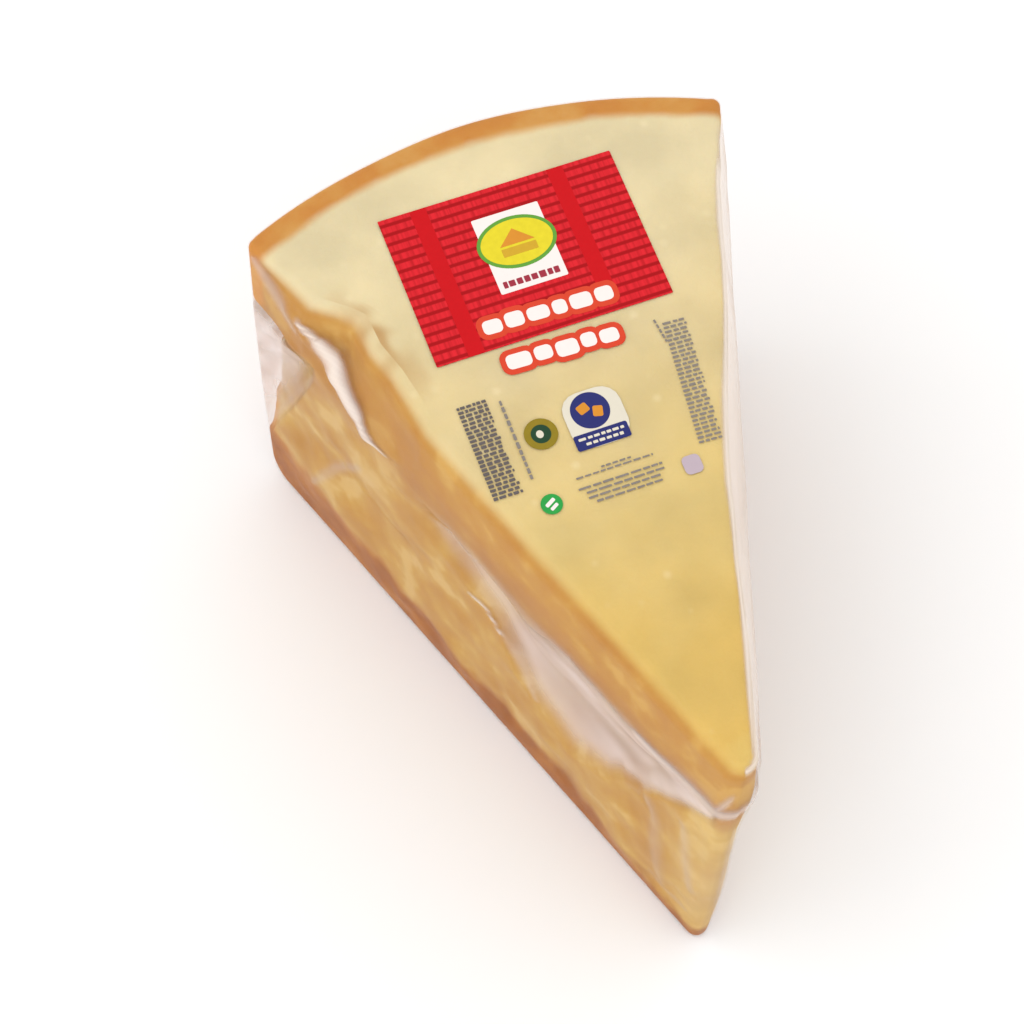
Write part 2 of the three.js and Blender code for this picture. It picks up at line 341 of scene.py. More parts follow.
def outline(z):
    """The stations at one height, anticlockwise from above, starting at the middle of the tip:
    place, outward normal, distance along the side, zone and distance from the corner"""
    tip_radius = TIP_RADIUS_BOTTOM + (TIP_RADIUS_TOP - TIP_RADIUS_BOTTOM) * z / HEIGHT
    tip_centre = (0, TIP_Y + tip_radius / math.sin(HALF_ANGLE))
    tip_end = tip_radius / math.tan(HALF_ANGLE)
    radius = RIND_RADIUS - RIND_BARREL * (1 - z / HEIGHT) ** 2 - edge_inset(HEEL_RADIUS, z)

    way = np.array([math.sin(HALF_ANGLE), math.cos(HALF_ANGLE)])
    inward = np.array([-math.cos(HALF_ANGLE), math.sin(HALF_ANGLE)])
    tip = np.array([0, TIP_Y])
    from_rind_centre = tip + inward * CORNER_RADIUS - [0, RIND_CENTRE_Y]
    b = from_rind_centre @ way
    c = from_rind_centre @ from_rind_centre - (radius - CORNER_RADIUS) ** 2
    corner_at = -b + math.sqrt(b * b - c)
    corner_centre = tip + way * corner_at + inward * CORNER_RADIUS
    rind_end = math.atan2(corner_centre[0], corner_centre[1] - RIND_CENTRE_Y)
    side_heading = math.pi / 2 + HALF_ANGLE

    def arc(centre, r, headings, zone, s, from_corner):
        """Stations on a round stretch"""
        x = centre[0] + r * np.sin(headings)
        y = centre[1] + r * np.cos(headings)
        zeros = 0 * headings
        return [x, y, np.sin(headings), np.cos(headings), s + zeros, zone + zeros,
                from_corner + zeros]

    def half(steps):
        """The right half, from the middle of the tip up to the middle of the rind"""
        turn = np.linspace(0, 1, TIP_STEPS // 2, endpoint=False)
        headings = math.pi - (math.pi / 2 - HALF_ANGLE) * turn
        s = tip_end * turn
        tip_arc = arc(tip_centre, tip_radius, headings, SIDE_ZONE, s, corner_at - s)
        s = np.linspace(tip_end, corner_at, steps + 1)
        x, y = tip[:, None] + way[:, None] * s
        nx, ny = math.sin(side_heading) + 0 * s, math.cos(side_heading) + 0 * s
        straight = [x, y, nx, ny, s, SIDE_ZONE + 0 * s, corner_at - s]
        turn = np.arange(1, CORNER_STEPS + 1) / CORNER_STEPS
        headings = side_heading + (rind_end - side_heading) * turn
        corner = arc(corner_centre, CORNER_RADIUS, headings, CORNER_ZONE, corner_at, 0)
        turn = np.arange(1, RIND_STEPS // 2) / (RIND_STEPS // 2)
        headings = rind_end * (1 - turn)
        from_corner = (rind_end - headings) * radius
        rind = arc((0, RIND_CENTRE_Y), radius, headings, RIND_ZONE, corner_at, from_corner)
        return np.concatenate([tip_arc, straight, corner, rind], axis=1)

    right = half(RIGHT_STEPS)
    middle = rind_end * radius
    back = np.array(
        arc((0, RIND_CENTRE_Y), radius, np.zeros(1), RIND_ZONE, corner_at, middle)
    )
    left = half(LEFT_STEPS)[:, :0:-1].copy()
    left[0] *= -1
    left[2] *= -1
    sides = np.concatenate([np.full(right.shape[1] + 1, RIGHT), np.full(left.shape[1], LEFT)])
    return np.concatenate([right, back, left], axis=1), sides, corner_at


def levels():
    """Heights of the wall's cuts, close together at both round edges"""
    first, last = BOTTOM_EDGE_LEVELS[-1], HEIGHT - TOP_EDGE_LEVELS[0]
    count = round((last - first) / WALL_STEP)
    wall = np.linspace(first, last, count + 1)[1:-1]
    top = [HEIGHT - down for down in TOP_EDGE_LEVELS]
    return np.concatenate([BOTTOM_EDGE_LEVELS, wall, top])


# Every station at every level
LEVELS = levels()
rows = [outline(z) for z in LEVELS]
SIDES = rows[0][1]
X, Y, NX, NY, S, ZONE, FROM_CORNER = np.stack([row[0] for row in rows], axis=1)
CORNER_AT = np.array([row[2] for row in rows])[:, None] + 0 * S
Z = LEVELS[:, None] + 0 * S
ON_SIDE = ZONE == SIDE_ZONE
ON_RIND = ZONE == RIND_ZONE
IS_LEFT = (SIDES == LEFT)[None, :] & np.ones_like(ON_SIDE)
AROUND = S.shape[1]
CENTRE = np.array([0, FACE_MIDDLE_Y])


def by_side(measure):
    """One measure taken with each side's own numbers, on the cut sides alone"""
    return np.where(ON_SIDE, np.where(IS_LEFT, measure(LEFT), measure(RIGHT)), 0)


def top_edge_radius():
    """The left top edge is rounder than the others"""
    toward_left = smooth(-LIP_EDGE_FADE, LIP_EDGE_FADE, np.where(IS_LEFT, S, -S))
    share = toward_left * smooth(0, LIP_EDGE_FADE, CORNER_AT - S)
    return TOP_EDGE_RADIUS + (LIP_EDGE_RADIUS - TOP_EDGE_RADIUS) * np.where(ON_SIDE, share, 0)


def spanned():
    """How far the film spans the waist and the broken corner, from 0 to 1"""
    waists = by_side(lambda side: waist(side, S, Z))
    tents = np.where(IS_LEFT & ON_SIDE, tent(FROM_CORNER, Z), 0)
    return waists, tents


def film_depth():
    """How far the film lies outside the plain outline, and how far its sag draws it in"""
    waists, tents = spanned()
    near_rind = smooth(0, CALM_CORNER, CORNER_AT - S)
    side = LIP["bulge"] * bump(Z, LIP["height"], LIP["reach"]) * near_rind
    side = side + TIER["bulge"] * bump(Z, TIER["height"], TIER["reach"]) * near_rind
    chip = np.interp(S, CHIP_AT, CHIP_DIP) * smooth(*CHIP_HEIGHTS, Z)
    side = side - np.where(IS_LEFT, chip, 0)
    side = side + by_side(lambda n: sum(h * fold(S, Z, a, b, w) for a, b, w, h in FOLDS[n]))
    rough = 1 - np.maximum(waists, tents)
    rough = rough * (LIP_SHARE + (1 - LIP_SHARE) * (1 - smooth(*LIP_RISE, Z)))
    rough = rough * smooth(0, CRAG_CALM["top"], HEIGHT - Z) * smooth(0, CRAG_CALM["foot"], Z)
    rough = rough * smooth(0, CRAG_CALM["tip"], S)
    rough = rough * smooth(0, CRAG_CALM["corner"], CORNER_AT - S)
    side = smooth(0, FOOT, Z) * side + rough * crags(X, Y - TIP_Y, Z)
    across = 1 / RIND_RELIEF_WIDTH
    rind = noise(X * across, (Y - TIP_Y) * across, Z / RIND_RELIEF_HEIGHT)
    rind = smooth(0, FOOT, Z) * RIND_RELIEF * rind
    relief = np.where(ON_SIDE, side, np.where(ON_RIND, rind, 0))
    edges = edge_inset(top_edge_radius(), HEIGHT - Z)
    edges = edges + np.where(ON_RIND, 0, edge_inset(SIDE_BOTTOM_RADIUS, Z))
    sag = smooth(0, FOOT, Z) * (WAIST_SAG * waists + TENT["sag"] * tents)
    return relief - edges, sag


# How far the cheese's own top edge lies behind the film on the right, by distance from the tip
RIGHT_EDGE_AT = [0, 19, 30, 44, 52, 66, 78, 87, 95, 109, 123, 137, 151, 162, 173, 187, 194]
RIGHT_EDGE_GAP = [0.4, 0.8, 1.1, 1.3, 1.8, 2.6, 2.8, 3.4, 3.4, 3, 2.2, 1.5, 1.4, 1.6, 1.6, 0.9, 0]


def right_edge_gap(s):
    """How far the cheese's right top edge lies behind the film, at a distance from the tip"""
    return np.interp(s, RIGHT_EDGE_AT, RIGHT_EDGE_GAP)


def beside_edge(side, places):
    """Distance along a cut side and distance inside it, for places on a flat face"""
    x, y = side * places[..., 0], places[..., 1] - TIP_Y
    s = x * math.sin(HALF_ANGLE) + y * math.cos(HALF_ANGLE)
    return s, y * math.sin(HALF_ANGLE) - x * math.cos(HALF_ANGLE)


def broken_grain(width, height, shift):
    """Grain of broken cheese, from 0 to 1, of one width and height"""
    return 0.5 + 0.5 * noise(X / width, Y / width + shift, Z / height)


def cheese_gap():
    """How far the cheese lies behind the film's plain relief along the normal, how far its
    broken corner is drawn in towards an upright axis inside the wedge, and the air left between"""
    hollow = WAIST_HOLLOW * by_side(lambda side: waist_hollow(side, S, Z))
    chip = CHIP_SHARE * np.interp(S, CHIP_AT, CHIP_DIP) * smooth(*CHIP_BEHIND, Z)
    edge = right_edge_gap(S) * (EDGE_LEAST + (1 - EDGE_LEAST) * smooth(*EDGE_RISE, Z))
    rounding = edge_inset(top_edge_radius(), HEIGHT - Z)
    edge = edge - np.minimum(edge, rounding - edge_inset(CHEESE_EDGE_RADIUS, HEIGHT - Z))
    flakes = FLAKE_HEIGHT * broken_grain(width=3.6, height=2.6, shift=5)
    torn = TORN_HEIGHT * broken_grain(width=9, height=6, shift=3)
    rough = smooth(*TORN_FROM, hollow) * (torn + flakes)
    gap = CLING + hollow + rough + np.where(ON_SIDE, np.where(IS_LEFT, chip, edge), 0)
    corner = np.where(IS_LEFT & ~(ON_SIDE & (S < TENT_FROM)), tent_hollow(FROM_CORNER, Z), 0)
    lumps = noise(X / TENT_LUMP_WIDTH, Y / TENT_LUMP_WIDTH, Z / TENT_LUMP_HEIGHT)
    corner = corner * (TENT_HOLLOW + TENT_LUMPS * lumps + flakes)
    return gap, corner, hollow + rough + np.where(ON_SIDE & ~IS_LEFT, edge, 0) + corner


def ring_shares():
    """Rings lie close together near the edge, where the film leaves the cheese"""
    steps = np.arange(1, FACE_RINGS + 1) / FACE_RINGS
    return (1 - steps**RING_CROWDING)[:, None]


def on_surface(depth, top_z, bottom_z, drawn_in=0):
    """Wall points at a depth outside the outline, with rings drawn in over both flat faces"""
    x = X + NX * depth
    y = Y + NY * depth
    if np.any(drawn_in):
        axis_s = CORNER_AT.max() - TENT_AXIS_IN
        way = (-math.sin(HALF_ANGLE), math.cos(HALF_ANGLE))
        inward = (math.cos(HALF_ANGLE), math.sin(HALF_ANGLE))
        axis_x = way[0] * axis_s + inward[0] * TENT_AXIS_IN
        axis_y = TIP_Y + way[1] * axis_s + inward[1] * TENT_AXIS_IN
        to_x, to_y = axis_x - x, axis_y - y
        length = np.hypot(to_x, to_y)
        x = x + drawn_in * to_x / length
        y = y + drawn_in * to_y / length
    z = bottom_z + (top_z - bottom_z) * Z / HEIGHT
    wall = np.stack([x, y, z], axis=-1)
    shares = ring_shares()[:, :, None]

    def face(edge):
        """Rings of one flat face. Their bearings always grow, so that no facet turns over where
        the edge bulges at the tip."""
        from_x, from_y = (edge[:, :2] - CENTRE).T
        slope = np.arange(AROUND) * LEAST_TURN
        bearing = np.unwrap(np.arctan2(from_y, from_x))
        bearing = np.maximum.accumulate(bearing - slope) + slope
        reach = np.hypot(from_x, from_y)
        around = np.stack([reach * np.cos(bearing), reach * np.sin(bearing)], axis=-1)
        flat = CENTRE + around * shares
        return np.concatenate([flat, edge[0, 2] + 0 * flat[..., :1]], axis=-1)

    return wall, face(wall[0]), face(wall[-1])


def drum():
    """A disc with a side for each station, extruded up into a drum. Its two flat faces are drawn
    in ring by ring to their centres, and its wall is cut into levels. Heights and radii count
    the levels and rings."""
    top = len(LEVELS) - 1
    bpy.ops.object.select_all(action="DESELECT")
    bpy.ops.mesh.primitive_circle_add(vertices=AROUND, radius=1, fill_type="NGON")
    piece = bpy.context.object
    bpy.ops.object.mode_set(mode="EDIT")
    bpy.ops.mesh.select_mode(type="FACE")
    bpy.ops.mesh.select_all(action="SELECT")
    bpy.ops.mesh.extrude_region_move(TRANSFORM_OT_translate={"value": (0, 0, top)})
    for height in (top, 0):
        bpy.ops.mesh.select_all(action="DESELECT")
        bpy.ops.object.mode_set(mode="OBJECT")
        for face in piece.data.polygons:
            face.select = len(face.vertices) == AROUND and abs(face.center.z - height) < 0.5
        bpy.ops.object.mode_set(mode="EDIT")
        for ring in range(FACE_RINGS, 1, -1):
            share = (ring - 1) / ring
            bpy.ops.mesh.extrude_region_move(TRANSFORM_OT_translate={"value": (0, 0, 0)})
            bpy.ops.transform.resize(value=(share, share, 1), center_override=(0, 0, height))
        bpy.ops.mesh.poke()
    bpy.ops.mesh.select_mode(type="EDGE")
    bpy.ops.mesh.select_all(action="DESELECT")
    bpy.ops.object.mode_set(mode="OBJECT")
    co = piece.data.vertices
    for edge in piece.data.edges:
        edge.select = abs(co[edge.vertices[0]].co.z - co[edge.vertices[1]].co.z) > 0.5
    bpy.ops.object.mode_set(mode="EDIT")
    bpy.ops.mesh.subdivide(number_cuts=top - 1)
    bpy.ops.mesh.select_all(action="SELECT")
    bpy.ops.mesh.normals_make_consistent(inside=False)
    bpy.ops.object.mode_set(mode="OBJECT")
    return piece


def places_of(piece):
    """Level, ring and station of each vertex of a drum"""
    co = np.zeros(len(piece.data.vertices) * 3)
    piece.data.vertices.foreach_get("co", co)
    x, y, z = co.reshape(-1, 3).T
    level = np.rint(z).astype(int)
    ring = FACE_RINGS - np.rint(np.hypot(x, y) * FACE_RINGS).astype(int)
    turn = (np.arctan2(y, x) + math.pi / 2) / (2 * math.pi)
    station = np.rint(turn * AROUND).astype(int) % AROUND
    return level, ring, station


def laid_out(places, wall, bottom, top):
    """Values for each vertex, from one array each for the wall and for the rings of both faces"""
    level, ring, station = places
    value = wall[level, station].copy()
    under = (ring > 0) & (level == 0)
    over = (ring > 0) & (level > 0)
    value[under] = bottom[ring[under] - 1, station[under]]
    value[over] = top[ring[over] - 1, station[over]]
    return value


def shaped(piece, name, surface, measures):
    """The drum moved to a surface, with each of its measures kept as an attribute"""
    piece.name = piece.data.name = name
    places = places_of(piece)
    piece.data.vertices.foreach_set("co", (laid_out(places, *surface) * MM).ravel())
    for key, arrays in measures.items():
        attribute = piece.data.attributes.new(key, "FLOAT", "POINT")
        attribute.data.foreach_set("value", laid_out(places, *arrays).astype(np.float32))
    bpy.ops.object.select_all(action="DESELECT")
    piece.select_set(True)
    bpy.context.view_layer.objects.active = piece
    bpy.ops.object.shade_smooth()


def hex_colour(code):
    """sRGB hex to linear"""
    channels = [int(code[i : i + 2], 16) / 255 for i in (1, 3, 5)]
    linear = [c / 12.92 if c <= 0.04045 else ((c + 0.055) / 1.055) ** 2.4 for c in channels]
    return (*linear, 1)


def add(tree, kind, inputs=None, stops=None, **settings):
    """One node with its settings; each input is a number, a colour or the socket that feeds it"""
    new = tree.nodes.new(kind)
    for name, value in settings.items():
        setattr(new, name, value)
    for name, value in (inputs or {}).items():
        if isinstance(value, bpy.types.NodeSocket):
            tree.links.new(value, new.inputs[name])
        else:
            new.inputs[name].default_value = value
    if stops:
        elements = new.color_ramp.elements
        for place, _ in stops[1:-1]:
            elements.new(place)
        for stop, (place, colour) in zip(elements, stops):
            stop.position = place
            stop.color = hex_colour(colour)
    return new


def new_material(name):
    """An empty material and its node tree"""
    material = bpy.data.materials.new(name)
    material.use_nodes = True
    material.node_tree.nodes.clear()
    return material, material.node_tree


def wear(piece, material):
    """The piece in one material"""
    piece.data.materials.clear()
    piece.data.materials.append(material)


def pattern_scale(size):
    """A pattern's scale from the real size of its features in millimetres"""
    return 1 / (size * MM)


def grating_cheese():
    """Granular, crumbly paste: ivory near the rind, straw yellow towards the tip, tan where
    it is broken, with a thin amber rind, browner at its foot and along the foot of both cut
    sides. The walls' darker, more orange tone is partly painted shade of the sides, the lip
    darkens towards its lower border as painted shade under its bulge, and flaky brown patches
    at the missing splinter are painted shade. Light sinks in a little, so that it looks dense."""
    material, tree = new_material("aged_cheese_paste_and_rind")
    place = add(tree, "ShaderNodeTexCoord").outputs["Object"]
    xyz = add(tree, "ShaderNodeSeparateXYZ", {0: place})
    up = add(
        tree, "ShaderNodeMapRange",
        {"Value": xyz.outputs["Z"], "From Min": 0.0, "From Max": HEIGHT * MM},
    ).outputs["Result"]
    along = add(
        tree, "ShaderNodeMapRange",
        {"Value": xyz.outputs["Y"], "From Min": TIP_Y * MM, "From Max": RIND_Y * MM},
    ).outputs["Result"]
    clouds = add(
        tree, "ShaderNodeTexNoise", {"Vector": place, "Scale": pattern_scale(30), "Detail": 4.0}
    ).outputs["Fac"]
    drift = add(
        tree, "ShaderNodeMath", {0: clouds, 1: 0.3, 2: along}, operation="MULTIPLY_ADD"
    ).outputs[0]
    plain_paste = add(
        tree, "ShaderNodeValToRGB", {"Fac": drift},
        stops=[(0.12, "#DCC579"), (0.26, "#D7B25B"), (0.4, "#D7B562"), (0.56, "#D7BD79"),
               (0.8, "#DBC795"), (1, "#DFCFA4")],
    ).outputs["Color"]

    # Darker and lighter patches, and pale crystals about 9 mm apart
    patches = add(
        tree, "ShaderNodeTexNoise", {"Vector": place, "Scale": pattern_scale(22), "Detail": 5.0}
    ).outputs["Fac"]
    patch_shade = add(
        tree, "ShaderNodeMapRange",
        {"Value": patches, "From Min": 0.32, "From Max": 0.68, "To Min": 0.89, "To Max": 1.06},
    ).outputs["Result"]
    mottled_paste = add(
        tree, "ShaderNodeHueSaturation", {"Value": patch_shade, "Color": plain_paste}
    ).outputs["Color"]
    from_crystal = add(
        tree, "ShaderNodeTexVoronoi", {"Vector": place, "Scale": pattern_scale(9)}
    ).outputs["Distance"]
    crystal = add(
        tree, "ShaderNodeMapRange",
        {"Value": from_crystal, "From Min": 0.18, "From Max": 0.04, "To Max": 0.28},
    ).outputs["Result"]
    paste = add(
        tree, "ShaderNodeMix",
        {"Factor": crystal, "A": mottled_paste, "B": hex_colour("#F0E2B8")}, data_type="RGBA",
    ).outputs["Result"]

    # Broken sides: tan flakes on the lower tier, browner on the lip. Their darker, more orange
    # tone than the level cut is partly painted shade of the sides, and the lip's darkening
    # towards its lower border is painted shade under its bulge
    flakes = add(
        tree, "ShaderNodeTexNoise", {"Vector": place, "Scale": pattern_scale(14), "Detail": 4.0}
    ).outputs["Fac"]
    broken_patches = add(
        tree, "ShaderNodeMath", {0: patches, 1: 0.7, 2: flakes}, operation="MULTIPLY_ADD"
    ).outputs[0]
    tier_tone = add(
        tree, "ShaderNodeValToRGB", {"Fac": broken_patches},
        stops=[(0.55, "#B17E37"), (0.78, "#BA8A43"), (0.92, "#C1964D"), (1, "#CBA665")],
    ).outputs["Color"]
    upper_lip = add(
        tree, "ShaderNodeValToRGB", {"Fac": broken_patches},
        stops=[(0.55, "#B0772C"), (0.78, "#B98234"), (0.92, "#BE8B3B"), (1, "#C89A4C")],
    ).outputs["Color"]
    # Painted shade: the lip darkens towards its lower border, where its bulge turns under
    lip_underside_shade = add(
        tree, "ShaderNodeMapRange",
        {"Value": up, "From Min": 122 / HEIGHT, "From Max": 96 / HEIGHT, "To Max": 0.45},
        interpolation_type="SMOOTHSTEP",
    ).outputs["Result"]
    lip_tone = add(
        tree, "ShaderNodeMix", {"Factor": lip_underside_shade, "A": upper_lip, "B": hex_colour("#9E6020")},
        data_type="RGBA",
    ).outputs["Result"]
    on_lip = add(
        tree, "ShaderNodeMapRange",
        {"Value": up, "From Min": 84 / HEIGHT, "From Max": 104 / HEIGHT},
        interpolation_type="SMOOTHSTEP",
    ).outputs["Result"]
    broken_wall_tone_and_shade = add(
        tree, "ShaderNodeMix", {"Factor": on_lip, "A": tier_tone, "B": lip_tone},
        data_type="RGBA",
    ).outputs["Result"]
    # The broken mask also brings in the painted shade of the walls
    broken = add(tree, "ShaderNodeAttribute", attribute_name="broken").outputs["Fac"]
    inside = add(
        tree, "ShaderNodeMix", {"Factor": broken, "A": paste, "B": broken_wall_tone_and_shade},
        data_type="RGBA",
    ).outputs["Result"]

    # Rind: an outer skin of uneven depth, and an uneven band that falls towards the tip
    marks = add(
        tree, "ShaderNodeTexNoise", {"Vector": place, "Scale": pattern_scale(12), "Detail": 4.0}
    ).outputs["Fac"]
    upper_rind = add(
        tree, "ShaderNodeValToRGB", {"Fac": marks},
        stops=[(0.2, "#BA7729"), (0.45, "#C68332"), (0.58, "#C98D3D"), (0.8, "#CF9B50")],
    ).outputs["Color"]
    lower_rind = add(
        tree, "ShaderNodeValToRGB", {"Fac": marks},
        stops=[(0.2, "#8C4E14"), (0.45, "#9C5A1A"), (0.58, "#A8661F"), (0.8, "#B6752A")],
    ).outputs["Color"]
    foot = add(
        tree, "ShaderNodeMapRange",
        {"Value": xyz.outputs["Z"], "From Min": 40 * MM, "From Max": 14 * MM},
        interpolation_type="SMOOTHSTEP",
    ).outputs["Result"]
    rind_tone = add(
        tree, "ShaderNodeMix", {"Factor": foot, "A": upper_rind, "B": lower_rind},
        data_type="RGBA",
    ).outputs["Result"]
    centre = add(
        tree, "ShaderNodeCombineXYZ",
        {"X": xyz.outputs["X"], "Y": xyz.outputs["Y"], "Z": 0.0},
    ).outputs[0]
    radial = add(
        tree, "ShaderNodeVectorMath", {0: centre, 1: (0, RIND_CENTRE_Y * MM, 0)},
        operation="DISTANCE",
    ).outputs["Value"]
    wander = add(
        tree, "ShaderNodeMath", {0: marks, 1: 3 * MM, 2: radial}, operation="MULTIPLY_ADD"
    ).outputs[0]
    outer = add(
        tree, "ShaderNodeMapRange",
        {"Value": wander, "From Min": (RIND_RADIUS - 7) * MM,
         "From Max": (RIND_RADIUS - 3.5) * MM},
        interpolation_type="SMOOTHSTEP",
    ).outputs["Result"]
    above_band = add(
        tree, "ShaderNodeMath", {0: along, 1: -24 * MM, 2: xyz.outputs["Z"]},
        operation="MULTIPLY_ADD",
    ).outputs[0]
    uneven_band = add(
        tree, "ShaderNodeMath", {0: marks, 1: 14 * MM, 2: above_band}, operation="MULTIPLY_ADD"
    ).outputs[0]
    under = add(
        tree, "ShaderNodeMapRange",
        {"Value": uneven_band, "From Min": 19 * MM, "From Max": 9.5 * MM},
        interpolation_type="SMOOTHSTEP",
    ).outputs["Result"]
    rind = add(tree, "ShaderNodeMath", {0: outer, 1: under}, operation="MAXIMUM").outputs[0]
    skinned = add(
        tree, "ShaderNodeMix", {"Factor": rind, "A": inside, "B": rind_tone},
        data_type="RGBA",
    ).outputs["Result"]
    # The torn mask paints shade, in flakes, at the missing splinter and in a patch by the rind
    torn = add(tree, "ShaderNodeAttribute", attribute_name="torn").outputs["Fac"]
    colour = add(
        tree, "ShaderNodeMix",
        {"Factor": torn, "A": skinned, "B": hex_colour("#B17B2E")}, data_type="RGBA",
    ).outputs["Result"]

    # Grains of 4 mm with a finer grit on them, only as relief
    grains = add(
        tree, "ShaderNodeTexVoronoi", {"Vector": place, "Scale": pattern_scale(4)}
    ).outputs["Distance"]
    grit = add(
        tree, "ShaderNodeTexNoise", {"Vector": place, "Scale": pattern_scale(1.2), "Detail": 4.0}
    ).outputs["Fac"]
    height = add(
        tree, "ShaderNodeMath", {0: grains, 1: 0.5, 2: grit}, operation="MULTIPLY_ADD"
    ).outputs[0]
    relief = add(
        tree, "ShaderNodeBump", {"Height": height, "Strength": 0.3, "Distance": 0.5 * MM}
    ).outputs["Normal"]
    rough = add(
        tree, "ShaderNodeMapRange", {"Value": flakes, "To Min": 0.5, "To Max": 0.75},
    ).outputs["Result"]
    body = add(
        tree, "ShaderNodeBsdfPrincipled",
        {
            "Base Color": colour,
            "Roughness": rough,
            "Normal": relief,
            "IOR": 1.46,
            "Specular IOR Level": 0.3,
            "Subsurface Weight": 0.12,
            "Subsurface Radius": (1.0, 0.6, 0.25),
            "Subsurface Scale": 3 * MM,
        },
    )
    add(tree, "ShaderNodeOutputMaterial", {"Surface": body.outputs[0]})
    return material


def clear_film():
    """Clear shrink film about 0.1 mm thick: almost unseen where it clings, a milky veil under
    its gloss where it spans a hollow, and whiter along creases and the right top edge, partly as
    stretched film and partly as painted highlights."""
    material, tree = new_material("clear_shrink_film")
    place = add(tree, "ShaderNodeTexCoord").outputs["Object"]
    # The veil mask also carries painted highlights along creases and the right top edge
    veil = add(tree, "ShaderNodeAttribute", attribute_name="veil").outputs["Fac"]
    ripple = add(
        tree, "ShaderNodeTexNoise", {"Vector": place, "Scale": pattern_scale(7), "Detail": 2.0}
    ).outputs["Fac"]
    relief = add(
        tree, "ShaderNodeBump", {"Height": ripple, "Strength": 0.2, "Distance": 0.6 * MM}
    ).outputs["Normal"]
    clear = add(tree, "ShaderNodeBsdfTransparent", {"Color": (1, 1, 1, 1)}).outputs[0]
    # Whiter milk along creases and the right top edge: partly stretched film, partly painted
    # highlights
    stretched = add(tree, "ShaderNodeAttribute", attribute_name="stretched").outputs["Fac"]
    white = add(
        tree, "ShaderNodeMix",
        {"Factor": stretched, "A": hex_colour("#DCCBC5"), "B": hex_colour("#E9DDD3")},
        data_type="RGBA",
    ).outputs["Result"]
    milk = add(
        tree, "ShaderNodeBsdfPrincipled",
        {"Base Color": white, "Roughness": 0.35, "Normal": relief, "IOR": 1.4},
    ).outputs[0]
    veiled = add(tree, "ShaderNodeMixShader", {0: veil, 1: clear, 2: milk}).outputs[0]
    gloss = add(
        tree, "ShaderNodeBsdfGlossy",
        {"Color": (1, 1, 1, 1), "Roughness": 0.14, "Normal": relief},
    ).outputs[0]
    facing = add(tree, "ShaderNodeFresnel", {"IOR": 1.34, "Normal": relief}).outputs[0]
    mirror = add(tree, "ShaderNodeMath", {0: facing, 1: 0.2}, operation="MULTIPLY").outputs[0]
    surface = add(tree, "ShaderNodeMixShader", {0: mirror, 1: veiled, 2: gloss}).outputs[0]
    add(tree, "ShaderNodeOutputMaterial", {"Surface": surface})
    return material


# How white the film is, from 0, clear, to 1. On its top face there is a web beyond the cheese's
# right edge, with a bright line along that edge, wide where the film is tight: a painted
# highlight. Places along the edge from the tip.
EDGE_HIGHLIGHT_AT = [0, 15, 25, 45, 55, 72, 78, 100, 112, 125, 150, 162, 175, 185]
EDGE_HIGHLIGHT_WIDTH = [0.6, 1, 1, 1.1, 0.4, 0.6, 0.9, 1.1, 1.2, 0.6, 0.5, 1.2, 0.6, 0.3]
EDGE_HIGHLIGHT_SOFT = 0.4
EDGE_HIGHLIGHT_END = (185, 175)
EDGE_HIGHLIGHT_PAST = 0.3
EDGE_HIGHLIGHT_VEIL = 0.82
EDGE_VEIL_AND_HIGHLIGHT_HEIGHTS = (118, 128)
FILM_BASE_VEIL = 0.015
MOST_VEIL = 0.96
WEB_VEIL = 0.64
WEB_PAST = (-0.2, 0.8)
WEB_GAP = (0.2, 1.4)

# On the wall: over the air behind it, over the waist a little past its borders, and at the tip
AIR_VEIL = (0.46, 0.86)
AIR_SEEN = (0.4, 5.5)
VEIL_PATCH_LENGTH = 22
VEIL_PATCH_HEIGHT = 7
TENT_VEIL = 0.78
TENT_REACH = 34
TENT_VEIL_TOP = (2, -10)
WAIST_VEIL_AT = [0, 48, 60, 84, 98, 150]
WAIST_VEIL = [1, 1, 1.08, 1.08, 0.72, 0.6]
WAIST_VEIL_SHARE = 0.85
WAIST_VEIL_TOP = (13, -4)
WAIST_VEIL_BOTTOM = (1, 14)
WAIST_VEIL_OPENS = (3, 12)
WAIST_VEIL_TIP = (2, 16)
TIP_VEIL = 0.08
TIP_VEIL_REACH = (26, 8)
TIP_VEIL_HEIGHT = 46


def edge_veil_and_highlight(inside, s):
    """How white the film is at a distance inside its own right edge, with a painted
    highlight line along the cheese's edge
    """
    gap_here = right_edge_gap(s)
    past_cheese = gap_here + CLING + CHEESE_EDGE_RADIUS - inside
    web = WEB_VEIL * smooth(*WEB_PAST, past_cheese) * smooth(*WEB_GAP, gap_here)
    width = np.interp(s, EDGE_HIGHLIGHT_AT, EDGE_HIGHLIGHT_WIDTH) + EDGE_HIGHLIGHT_SOFT
    # The bright line along the cheese's edge is a painted highlight
    line = bump(past_cheese, EDGE_HIGHLIGHT_PAST, width)
    return np.maximum(web, EDGE_HIGHLIGHT_VEIL * line * smooth(*EDGE_HIGHLIGHT_END, s))


def top_veil_and_highlight(rings):
    """How white the film is on its top face, with the painted highlight line along the right edge
    """
    s, inside = beside_edge(RIGHT, rings)
    return np.maximum(FILM_BASE_VEIL, edge_veil_and_highlight(inside, s))


def from_to(height, span):
    """A span of heights counted from a height"""
    return height + span[0], height + span[1]


def waist_veil(side):
    """The veil over the waist starts and ends softly, a little outside its borders"""
    top, bottom, half = waist_borders(side, S)
    down = smooth(*from_to(top, WAIST_VEIL_TOP), Z) * smooth(*from_to(bottom, WAIST_VEIL_BOTTOM), Z)
    return down * smooth(*WAIST_VEIL_OPENS, half) * smooth(*WAIST_VEIL_TIP, S)


